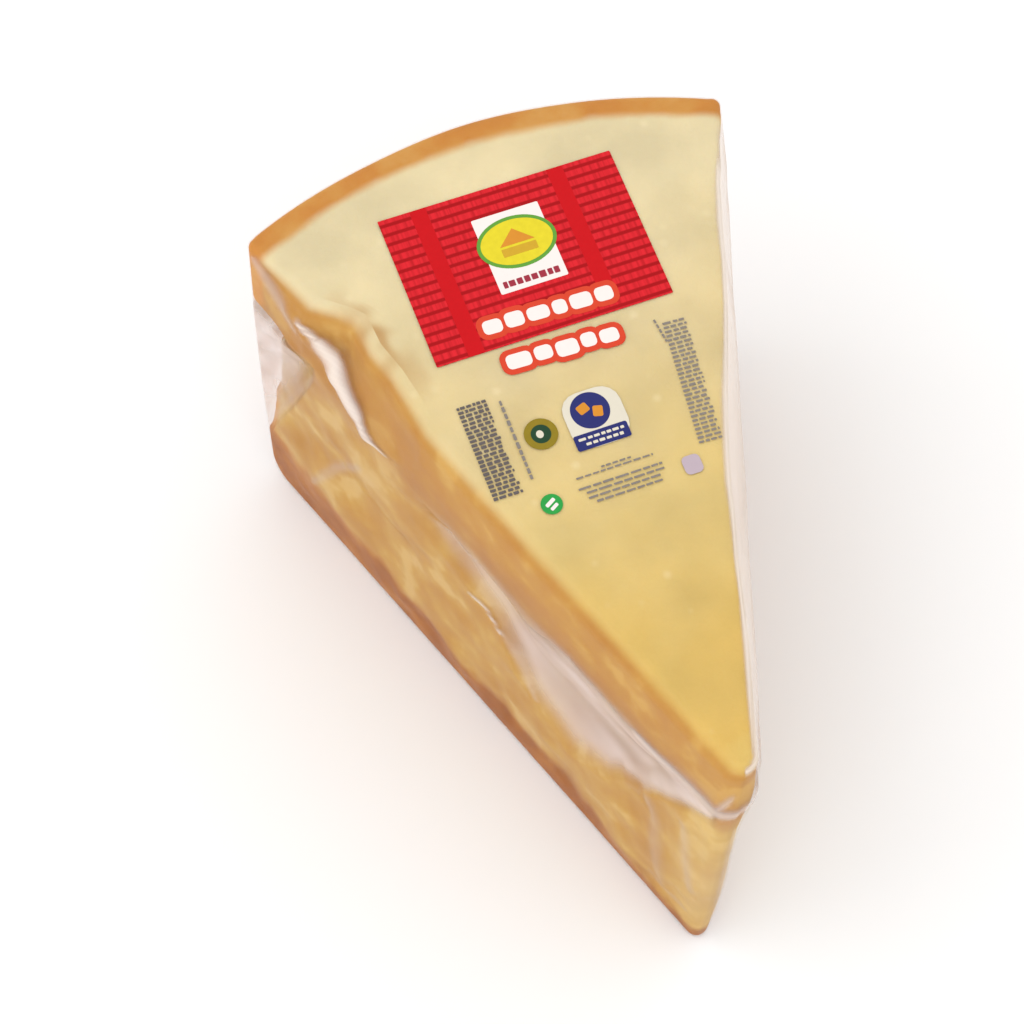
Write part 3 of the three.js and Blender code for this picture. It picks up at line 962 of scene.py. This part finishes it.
def right_edge_veil_and_highlight():
    """How white the film is just below its right top edge, with the painted highlight line"""
    inside = edge_inset(top_edge_radius(), HEIGHT - Z)
    veil = edge_veil_and_highlight(inside, S) * smooth(*EDGE_VEIL_AND_HIGHLIGHT_HEIGHTS, Z)
    return np.where(ON_SIDE & ~IS_LEFT, veil, 0)


def wall_veil_and_highlights(air):
    """How white the film is on the wall: over hollows, at the tip, along creases and below the
    right top edge, with painted highlights among the creases and along that edge
    """
    seed = SIDES[None, :] * 3 + 0 * S
    patches = 0.5 + 0.5 * noise(S / VEIL_PATCH_LENGTH, Z / VEIL_PATCH_HEIGHT, seed)
    over = np.maximum(smooth(*AIR_SEEN, air), WAIST_VEIL_SHARE * by_side(waist_veil))
    at_corner = IS_LEFT & (FROM_CORNER < TENT_REACH)
    tent_share = TENT_VEIL * smooth(*from_to(TENT["top"], TENT_VEIL_TOP), Z)
    over = over * np.where(at_corner, tent_share, np.interp(S, WAIST_VEIL_AT, WAIST_VEIL))
    over_air = (AIR_VEIL[0] + (AIR_VEIL[1] - AIR_VEIL[0]) * patches) * over
    at_tip = smooth(*TIP_VEIL_REACH, S) * bump(Z, TIP_VEIL_HEIGHT, TIP_VEIL_HEIGHT)
    at_tip = TIP_VEIL * np.where(ON_SIDE, at_tip, 0)
    veil = np.maximum(FILM_BASE_VEIL + np.maximum(over_air, at_tip), right_edge_veil_and_highlight())
    return np.clip(veil + CREASE_WHITE_AND_GLINTS * (1 - veil), 0, MOST_VEIL)


# How white the creases make the wall, with painted highlights among them
CREASE_WHITE_AND_GLINTS = by_side(
    lambda n: np.max([white * crease(S, Z, points, width)
                      for points, width, white in CREASES_AND_GLINTS[n]], axis=0)
)
relief, sag = film_depth()
gap, corner_in, air = cheese_gap()
film_surface = on_surface(relief - sag + CREASE_RIDGE * CREASE_WHITE_AND_GLINTS, HEIGHT, 0)
cheese_surface = on_surface(relief - gap, HEIGHT - CLING, CLING, corner_in)
plain_rings = np.full((FACE_RINGS, AROUND), FILM_BASE_VEIL)
on_top = top_veil_and_highlight(film_surface[2])
# The veil also carries the painted highlights of the creases and the right top edge
veil = (wall_veil_and_highlights(air - sag), plain_rings, on_top)
no_rings = np.zeros((FACE_RINGS, AROUND))
# Whiter milk where the creases and the right top edge carry painted highlights
WHITER_AT_CREASE_AND_GLINT = (0.3, 0.8)
WHITER_AT_EDGE_HIGHLIGHT = (0.2, 0.5)
at_edge = smooth(*WHITER_AT_EDGE_HIGHLIGHT, right_edge_veil_and_highlight())
stretched_and_glinting_wall = np.maximum(smooth(*WHITER_AT_CREASE_AND_GLINT, CREASE_WHITE_AND_GLINTS), at_edge)
stretched = (stretched_and_glinting_wall, no_rings, smooth(*WHITER_AT_EDGE_HIGHLIGHT, on_top))

# The round top edge passes from the level cut to the broken side, which is paler at the tip.
# The mask carries the broken side's tone, which is partly painted shade.
BROKEN_FROM_TOP = 2.8
BROKEN_AT_CORNER = 0.3
PALE_TIP = {"share": 0.4, "reach": (32, 10), "heights": (96, 84)}
shaded_broken_wall = np.where(ON_SIDE, smooth(0, BROKEN_FROM_TOP, HEIGHT - Z), BROKEN_AT_CORNER)
pale_tip = smooth(*PALE_TIP["reach"], S) * smooth(*PALE_TIP["heights"], Z)
shaded_broken_wall = shaded_broken_wall * (1 - PALE_TIP["share"] * pale_tip)

# Painted shade, browner and in flakes, in the hollow of the missing splinter, in a patch by
# the rind and on the level cut beside the splinter.
# Places along the left side, and how strongly the wall and the level cut are shaded there.
TORN_SHADE_SHARE = 0.8
TORN_WALL_SHADE_AT, TORN_WALL_SHADE = [138, 150, 160, 172], [0, 0.6, 1, 0]
TORN_TOP_SHADE_SHARE = 0.75
TORN_TOP_SHADE_AT, TORN_TOP_SHADE = [134, 148, 160, 176], [0, 0.7, 1, 0]
TORN_TOP_SHADE_REACH = (14, 8)
TORN_FLAKE = 4
TORN_FLAKE_HEIGHT = 3
splinter = np.interp(S, TORN_WALL_SHADE_AT, TORN_WALL_SHADE) * bump(Z, 126, 18)
corner_patch = bump(S, 192, 7) * bump(Z, 102, 8)
flaking = noise(X / TORN_FLAKE, Y / TORN_FLAKE, Z / TORN_FLAKE_HEIGHT)
shaded_torn_wall = TORN_SHADE_SHARE * (splinter + corner_patch) * smooth(-0.5, 0.5, flaking)
shaded_torn_wall = np.where(ON_SIDE & IS_LEFT, shaded_torn_wall, 0)


def shaded_torn_top(rings):
    """Painted shade on the level cut too, in flakes, a little way in from the missing splinter"""
    s, inside = beside_edge(LEFT, rings)
    x, y = rings[..., 0], rings[..., 1] - TIP_Y
    ragged = inside + TORN_FLAKE * noise(x / TORN_FLAKE, y / TORN_FLAKE, 0 * x + 0.5)
    near = np.interp(s, TORN_TOP_SHADE_AT, TORN_TOP_SHADE)
    return TORN_TOP_SHADE_SHARE * near * smooth(*TORN_TOP_SHADE_REACH, ragged)


film = drum()
bpy.ops.object.duplicate()
cheese = bpy.context.object
shaped(film, "film", film_surface, {"veil": veil, "stretched": stretched})
shaped(
    cheese, "cheese", cheese_surface,
    {
        "broken": (shaded_broken_wall, no_rings, no_rings),
        "torn": (shaded_torn_wall, no_rings, shaded_torn_top(cheese_surface[2])),
    },
)
wear(film, clear_film())
wear(cheese, grating_cheese())

for piece, slot in ((film, "film"), (cheese, "cheese")):
    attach(piece, "root")
    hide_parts("wrapped_wedge")


def printing_ink(name, colour, speck):
    """Opaque ink on film, printed by rollers: smooth and slightly glossy, its shade uneven by a
    small share"""
    material, tree = new_material(name)
    place = add(tree, "ShaderNodeTexCoord").outputs["Object"]
    cover = add(
        tree, "ShaderNodeTexNoise", {"Vector": place, "Scale": pattern_scale(1.5), "Detail": 2.0}
    ).outputs["Fac"]
    value = add(
        tree, "ShaderNodeMapRange",
        {"Value": cover, "To Min": 1 - speck, "To Max": 1 + speck},
    ).outputs["Result"]
    shade = add(
        tree, "ShaderNodeHueSaturation", {"Value": value, "Color": hex_colour(colour)}
    ).outputs["Color"]
    rough = add(
        tree, "ShaderNodeMapRange", {"Value": cover, "To Min": 0.3, "To Max": 0.45},
    ).outputs["Result"]
    body = add(
        tree, "ShaderNodeBsdfPrincipled",
        {"Base Color": shade, "Roughness": rough, "IOR": 1.45, "Specular IOR Level": 0.15},
    )
    add(tree, "ShaderNodeOutputMaterial", {"Surface": body.outputs[0]})
    return material


def striped_red_ink():
    """Red ink with rows, 2.8 mm apart, of lighter marks about 1 mm long, uneven as small print
    looks from a step away"""
    material, tree = new_material("printed_red_ink_with_rows_of_marks")
    place = add(tree, "ShaderNodeTexCoord").outputs["Object"]
    xyz = add(tree, "ShaderNodeSeparateXYZ", {0: place})
    up_rows = add(
        tree, "ShaderNodeMath", {0: xyz.outputs["Y"], 1: pattern_scale(2.8)},
        operation="MULTIPLY",
    ).outputs[0]
    row = add(tree, "ShaderNodeMath", {0: up_rows}, operation="FLOOR").outputs[0]
    from_line = add(
        tree, "ShaderNodeMath", {0: up_rows, 1: 0.5}, operation="PINGPONG"
    ).outputs[0]
    in_row = add(
        tree, "ShaderNodeMapRange",
        {"Value": from_line, "From Min": 0.1, "From Max": 0.26},
        interpolation_type="SMOOTHSTEP",
    ).outputs["Result"]
    across = add(
        tree, "ShaderNodeMath", {0: xyz.outputs["X"], 1: pattern_scale(1.1)},
        operation="MULTIPLY",
    ).outputs[0]
    mark_place = add(
        tree, "ShaderNodeCombineXYZ", {"X": across, "Y": row, "Z": 0.0}
    ).outputs[0]
    marks = add(
        tree, "ShaderNodeTexNoise", {"Vector": mark_place, "Scale": 1.0, "Detail": 3.0}
    ).outputs["Fac"]
    in_mark = add(
        tree, "ShaderNodeMapRange",
        {"Value": marks, "From Min": 0.36, "From Max": 0.56, "To Min": 0.4, "To Max": 1.0},
    ).outputs["Result"]
    light = add(
        tree, "ShaderNodeMath", {0: in_row, 1: in_mark}, operation="MULTIPLY"
    ).outputs[0]
    shade = add(
        tree, "ShaderNodeMix",
        {"Factor": light, "A": hex_colour("#A2060E"), "B": hex_colour("#D8212B")},
        data_type="RGBA",
    ).outputs["Result"]
    rough = add(
        tree, "ShaderNodeMapRange", {"Value": marks, "To Min": 0.3, "To Max": 0.5},
    ).outputs["Result"]
    body = add(
        tree, "ShaderNodeBsdfPrincipled",
        {"Base Color": shade, "Roughness": rough, "IOR": 1.45, "Specular IOR Level": 0.15},
    )
    add(tree, "ShaderNodeOutputMaterial", {"Surface": body.outputs[0]})
    return material


# Ink is really a few thousandths of a millimetre thick: these keep its layers apart
INK_STEP = 0.03
INK_THICKNESS = 0.02


def printed(name, material, layer, panels=(), discs=(), rounding=0.2, corners=48):
    """Flat ink shapes on the film's top: rectangles as (x, y, width, depth, turn in degrees) and
    ovals as (x, y, width, depth), on the layer with this number; with three corners the ovals
    are triangles. Every second rectangle lies a quarter of a step higher, so that overlapping
    ones never share a plane."""
    z = (HEIGHT + INK_STEP * layer) * MM
    bpy.ops.object.select_all(action="DESELECT")
    bpy.ops.mesh.primitive_plane_add(size=1, location=(0, 0, 0))
    piece = bpy.context.object
    piece.name = piece.data.name = name
    bpy.ops.object.mode_set(mode="EDIT")
    bpy.ops.mesh.select_all(action="SELECT")
    bpy.ops.mesh.delete(type="VERT")
    for n, (x, y, width, depth, turn) in enumerate(panels):
        place = (x * MM, y * MM, z + (n % 2) * INK_STEP / 4 * MM)
        bpy.ops.mesh.primitive_plane_add(size=1, location=place)
        bpy.ops.transform.resize(value=(width * MM, depth * MM, 1), center_override=place)
        if turn:
            bpy.ops.transform.rotate(
                value=math.radians(-turn), orient_axis="Z", center_override=place
            )
    if panels:
        bpy.ops.mesh.select_all(action="SELECT")
        bpy.ops.mesh.bevel(offset=rounding * MM, segments=4, affect="VERTICES")
    for x, y, width, depth in discs:
        place = (x * MM, y * MM, z)
        bpy.ops.mesh.primitive_circle_add(
            vertices=corners, radius=0.5, fill_type="NGON", location=place
        )
        bpy.ops.transform.resize(value=(width * MM, depth * MM, 1), center_override=place)
    bpy.ops.mesh.select_all(action="SELECT")
    bpy.ops.mesh.extrude_region_move(
        TRANSFORM_OT_translate={"value": (0, 0, INK_THICKNESS * MM)}
    )
    bpy.ops.mesh.select_all(action="SELECT")
    bpy.ops.mesh.normals_make_consistent(inside=False)
    bpy.ops.object.mode_set(mode="OBJECT")
    wear(piece, material)
    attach(piece, "root")


def uneven(row, n):
    """Repeatable value from 0 to 1 for the nth shape of a row"""
    return 0.5 + 0.5 * float(noise([row * 3.7 + n * 1.3], [row * 0.9], [0.5])[0])


SHORTEST_DASH = 0.7
LEAST_REST = 0.4
DASH_HEIGHT = 0.75
DASH_HEIGHT_MORE = 0.4
DASH_GAP = 0.25
DASH_GAP_MORE = 0.4
BAR_WIDTH = 2.8
BAR_WIDTH_MORE = 5
BAR_HEIGHT = 3.4
BAR_HEIGHT_MORE = 1.6
BAR_GAP = 0.9
BAR_SHIFT = 1.2


def dash_row(x, y, length, height, row, turn=0, longest=4):
    """Dashes of uneven length in one row about its middle, along a direction"""
    way = np.array([math.cos(math.radians(turn)), math.sin(math.radians(turn))])
    at = -length / 2
    dashes = []
    while at < length / 2 - LEAST_REST:
        share = uneven(row, len(dashes))
        dash = min(SHORTEST_DASH + (longest - SHORTEST_DASH) * share, length / 2 - at)
        middle = np.array([x, y]) + way * (at + dash / 2)
        tall = height * (DASH_HEIGHT + DASH_HEIGHT_MORE * uneven(row + 0.5, len(dashes)))
        dashes.append((middle[0], middle[1], dash, tall, turn))
        at += dash + DASH_GAP + DASH_GAP_MORE * share
    return dashes


def bar_row(x, y, turn, count, row):
    """A heavy row of rounded bars of uneven width and height about its middle"""
    sizes = [(BAR_WIDTH + BAR_WIDTH_MORE * uneven(row, n),
              BAR_HEIGHT + BAR_HEIGHT_MORE * uneven(row + 1, n)) for n in range(count)]
    way = math.radians(turn)
    at = -(sum(width for width, _ in sizes) + BAR_GAP * (count - 1)) / 2
    placed = []
    for n, (width, height) in enumerate(sizes):
        along = at + width / 2
        up = BAR_SHIFT * (uneven(row + 2, n) - 0.5)
        placed.append((
            x + along * math.cos(way) - up * math.sin(way),
            y + along * math.sin(way) + up * math.cos(way), width, height, turn,
        ))
        at += width + BAR_GAP
    return placed


def grown(shapes, by):
    """The same rectangles, wider and deeper by one measure"""
    return [(x, y, width + by, height + by, turn) for x, y, width, height, turn in shapes]


# Inks of one colour, with the share by which their shade is uneven
INKS = {
    "plain_red": ("#C40A14", 0.06),
    "orange_red": ("#D2432A", 0.06),
    "white": ("#EDE3DE", 0.03),
    "pale_panel": ("#DAD2C0", 0.03),
    "grey": ("#857D76", 0.12),
    "dark_grey": ("#625B5A", 0.12),
    "blue": ("#2B2F6B", 0.06),
    "gold": ("#8C7820", 0.1),
    "dark_green": ("#24442E", 0.06),
    "green": ("#2E9A45", 0.06),
    "leaf_green": ("#5F9A3A", 0.06),
    "yellow": ("#DCCB2C", 0.1),
    "orange": ("#D28A2E", 0.06),
    "ochre": ("#C9A02C", 0.06),
    "maroon": ("#9A3040", 0.06),
    "lavender": ("#B9A8B1", 0.03),
}


def print_on_film():
    """The printed field, its badge, bars, rows of dashes and round marks, in millimetres"""
    striped_red = striped_red_ink()
    ink = {name: printing_ink(f"printed_{name}_ink", *look) for name, look in INKS.items()}

    printed("print_red_field", striped_red, 0, [(-0.1, 55, 64.6, 44.8, 0)], rounding=0.3)
    printed("print_red_bands", ink["plain_red"], 1,
            [(-21.5, 55, 4.4, 44.6, 0), (16.5, 58, 4.4, 38.6, 0)])

    # Badge on the red field
    printed("print_badge_panel", ink["white"], 2, [(-0.4, 58, 18.4, 22.9, 0)], rounding=0.4)
    printed("print_badge_rim", ink["leaf_green"], 3, discs=[(-0.4, 60, 21.4, 15.2)])
    printed("print_badge_ground", ink["yellow"], 4, discs=[(-0.4, 60, 19.4, 13.2)])
    printed("print_badge_wedge", ink["orange"], 5, discs=[(-0.4, 61, 11, 6)], corners=3)
    printed("print_badge_wedge_side", ink["ochre"], 5, [(-0.4, 57.6, 9.5, 2.4, 0)])
    printed("print_badge_row", ink["maroon"], 3,
            dash_row(-0.4, 48.9, 15.6, 1.9, 5, longest=2.4))

    # Two heavy rows of rounded bars, each with a contour, the upper one over the field's edge
    heavy_rows = bar_row(0, 38.6, -2, 6, 3) + bar_row(-0.4, 27.2, -2, 5, 11)
    printed("print_heavy_row_contour", ink["orange_red"], 2, grown(heavy_rows, 3), rounding=2.6)
    printed("print_heavy_row_bars", ink["white"], 3, heavy_rows, rounding=1.35)

    # Fine rows: two upright blocks, lines and a little patch
    rows = []
    for n in range(23):
        rows += dash_row(-28, 19.8 - 1.2 * n, 7.8, 0.84, n, longest=2.2)
    printed("print_dark_rows", ink["dark_grey"], 0, rows, rounding=0.15)
    rows = []
    for n in range(29):
        y = 24.8 - 1.22 * n
        rows += dash_row(29.2 - 3.9 * n / 28, y, 6.2, 0.66, n + 40, turn=-3, longest=2.4)
    rows += dash_row(-20.8, 7, 23, 0.8, 71, turn=90, longest=2.2)
    rows += dash_row(24.9, 23.4, 7, 0.6, 72, turn=-83, longest=1.8)
    rows += dash_row(-0.2, -8.2, 20.6, 0.5, 73, longest=3)
    rows += dash_row(0.6, -7.1, 8, 0.5, 74, longest=2)
    for n in range(4):
        rows += dash_row(0.2 + 0.8 * (n % 2), -11.2 - 1.45 * n, 22.4 - 1.6 * n, 0.6, n + 80)
    printed("print_small_rows", ink["grey"], 0, rows, rounding=0.15)
    printed("print_patch", ink["lavender"], 0, [(18.4, -14.2, 4.8, 5.2, 0)], rounding=1.4)

    # A ring, a pale panel with a disc and a bar, and a small green disc
    printed("print_gold_ring", ink["gold"], 0, discs=[(-14.3, 6.4, 8.7, 8.7)])
    printed("print_ring_centre", ink["dark_green"], 1, discs=[(-14.3, 6.4, 5.2, 5.2)])
    printed("print_ring_dot", ink["pale_panel"], 2, discs=[(-14.6, 6.4, 1.9, 2.2)])
    printed("print_blue_ground", ink["pale_panel"], 0, [(0.4, 6.2, 15.4, 15.8, 0)], rounding=5)
    printed("print_blue_shapes", ink["blue"], 1, [(0, 0.6, 14.4, 4.4, 0)],
            [(-0.3, 8.4, 10.2, 10.2)], rounding=0.6)
    printed("print_blue_rows", ink["pale_panel"], 2,
            dash_row(0, 1.4, 12.2, 0.8, 91, longest=2.2)
            + dash_row(0.4, -0.2, 10, 0.8, 92, longest=2), rounding=0.15)
    printed("print_blue_motif", ink["orange"], 2,
            [(-1.9, 9.4, 3, 2.6, 20), (1.5, 7.6, 2.6, 3, -15)], rounding=0.5)
    printed("print_green_disc", ink["green"], 0, discs=[(-18.7, -12.5, 5.6, 5.6)])
    printed("print_green_bars", ink["white"], 1,
            [(-18.9, -12, 3, 1, 30), (-18.3, -13.4, 2.4, 0.9, 30)], rounding=0.3)


print_on_film()


def pale_floor():
    """A plain matt sweep, wide enough to have no edge in view"""
    bpy.ops.object.select_all(action="DESELECT")
    bpy.ops.mesh.primitive_plane_add(size=6, location=(0, 0, 0))
    floor = bpy.context.object
    floor.name = "floor"
    material, tree = new_material("matt_white_paper_sweep")
    body = add(
        tree, "ShaderNodeBsdfPrincipled",
        {"Base Color": hex_colour("#F6F6F6"), "Roughness": 0.9},
    )
    add(tree, "ShaderNodeOutputMaterial", {"Surface": body.outputs[0]})
    wear(floor, material)


# Studio, in metres and watts
LIT_PLACE = (0, 0, 0.06)
SURROUND_STRENGTH = 1.1


def softbox(name, place, size, power):
    """A rectangular soft light turned to the wedge"""
    bpy.ops.object.light_add(type="AREA", location=place)
    light = bpy.context.object
    light.name = name
    light.data.shape = "RECTANGLE"
    light.data.size, light.data.size_y = size
    light.data.energy = power
    towards = Vector(LIT_PLACE) - Vector(place)
    light.rotation_euler = towards.to_track_quat("-Z", "Y").to_euler()


def studio():
    """White all around, with a soft light over the left side and a weaker one low in front"""
    world = bpy.data.worlds.new("white_studio")
    bpy.context.scene.world = world
    world.use_nodes = True
    surround = world.node_tree.nodes["Background"].inputs
    surround["Color"].default_value = (1, 1, 1, 1)
    surround["Strength"].default_value = SURROUND_STRENGTH
    softbox("key", place=(-1.0, 0.3, 1.6), size=(1.0, 1.0), power=4)
    softbox("fill", place=(-1.1, -0.9, 0.5), size=(0.9, 0.6), power=3)


# Camera, fitted to the wedge's corners in the photograph: azimuth, elevation and roll in
# degrees, distances in metres, lens and sensor in millimetres
CAMERA_ANGLES = (-25.81, 65.75, 5.49)
CAMERA_DISTANCE = 0.789
LOOK_AT = (-0.016, 0.0152, 0.065)
LENS = 102
SENSOR_WIDTH = 36


def camera():
    """Where the photograph was taken from, with its lens and the slight roll of the frame"""
    azimuth, elevation, roll = (math.radians(angle) for angle in CAMERA_ANGLES)
    back = Vector((
        math.sin(azimuth) * math.cos(elevation),
        -math.cos(azimuth) * math.cos(elevation),
        math.sin(elevation),
    ))
    right = Vector((0, 0, 1)).cross(back).normalized()
    up = back.cross(right)
    right, up = (
        right * math.cos(roll) + up * math.sin(roll),
        up * math.cos(roll) - right * math.sin(roll),
    )
    bpy.ops.object.camera_add()
    view = bpy.context.object
    place = Vector(LOOK_AT) + back * CAMERA_DISTANCE
    turned = Matrix((right, up, back)).transposed().to_4x4()
    view.matrix_world = Matrix.Translation(place) @ turned
    view.data.lens = LENS
    view.data.sensor_width = SENSOR_WIDTH
    bpy.context.scene.camera = view
    bpy.context.scene.view_settings.view_transform = "Standard"


pale_floor()
studio()
camera()
